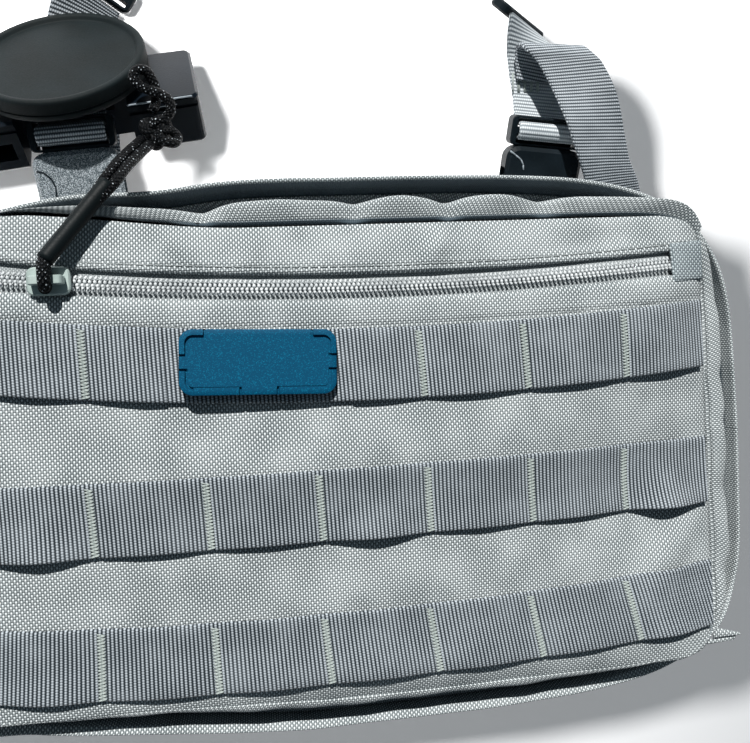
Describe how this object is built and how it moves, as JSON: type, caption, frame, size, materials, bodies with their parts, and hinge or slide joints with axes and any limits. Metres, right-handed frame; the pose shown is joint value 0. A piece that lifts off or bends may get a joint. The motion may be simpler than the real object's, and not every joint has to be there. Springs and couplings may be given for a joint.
{
  "type": "chest pack",
  "caption": "Chest pack lying on its back, with a zipped front pocket, rows of loop webbing, a bare badge plate, side-release strap buckles and a round clip-on dock.",
  "frame": {"origin": "centre of the back panel's flat underside", "axes": "+X to the right as seen from the front, +Y to the pack's top edge, +Z out of the front panel"},
  "size_m": [0.334, 0.3107, 0.078],
  "materials": {
    "pack_cloth": "silver-grey woven polyester, matt",
    "webbing": "ribbed grey webbing, slight sheen",
    "zip_coil": "pale grey coil",
    "slider_metal": "pale grey-green, satin",
    "cord": "black braid",
    "black_plastic": "black, fine grain",
    "dock_rubber": "dark grey, matt",
    "blue_plate": "metallic blue, fine sparkle"
  },
  "bodies": {
    "root": {"back_panel": "pack_cloth", "gusset": "pack_cloth", "front_lower": "pack_cloth", "front_upper": "pack_cloth", "corner_tab_right": "pack_cloth", "corner_tab_left": "pack_cloth", "zip_tape": "pack_cloth", "zip_tab_right": "pack_cloth", "zip_tab_left": "pack_cloth", "molle_row_1": "webbing", "molle_row_2": "webbing", "molle_row_3": "webbing", "strap_right": "webbing", "strap_left": "webbing", "strap_tail_right": "webbing", "strap_tail_left": "webbing", "buckle_tab_right": "webbing", "buckle_tab_left": "webbing", "zip_coil_upper": "zip_coil", "zip_coil_lower": "zip_coil", "zip_slider": "slider_metal", "pull_eye": "cord", "pull_sheath": "cord", "pull_strand_1": "cord", "pull_strand_2": "cord", "pull_knot": "cord", "pull_loop": "cord", "badge_base": "black_plastic", "dock_body": "black_plastic", "buckle_body_right": "black_plastic", "buckle_body_left": "black_plastic", "buckle_lock_right": "black_plastic", "buckle_lock_left": "black_plastic", "strap_slider_right": "black_plastic", "strap_slider_left": "black_plastic", "dock_disc": "dock_rubber", "badge_plate": "blue_plate"}
  },
  "joints": []
}
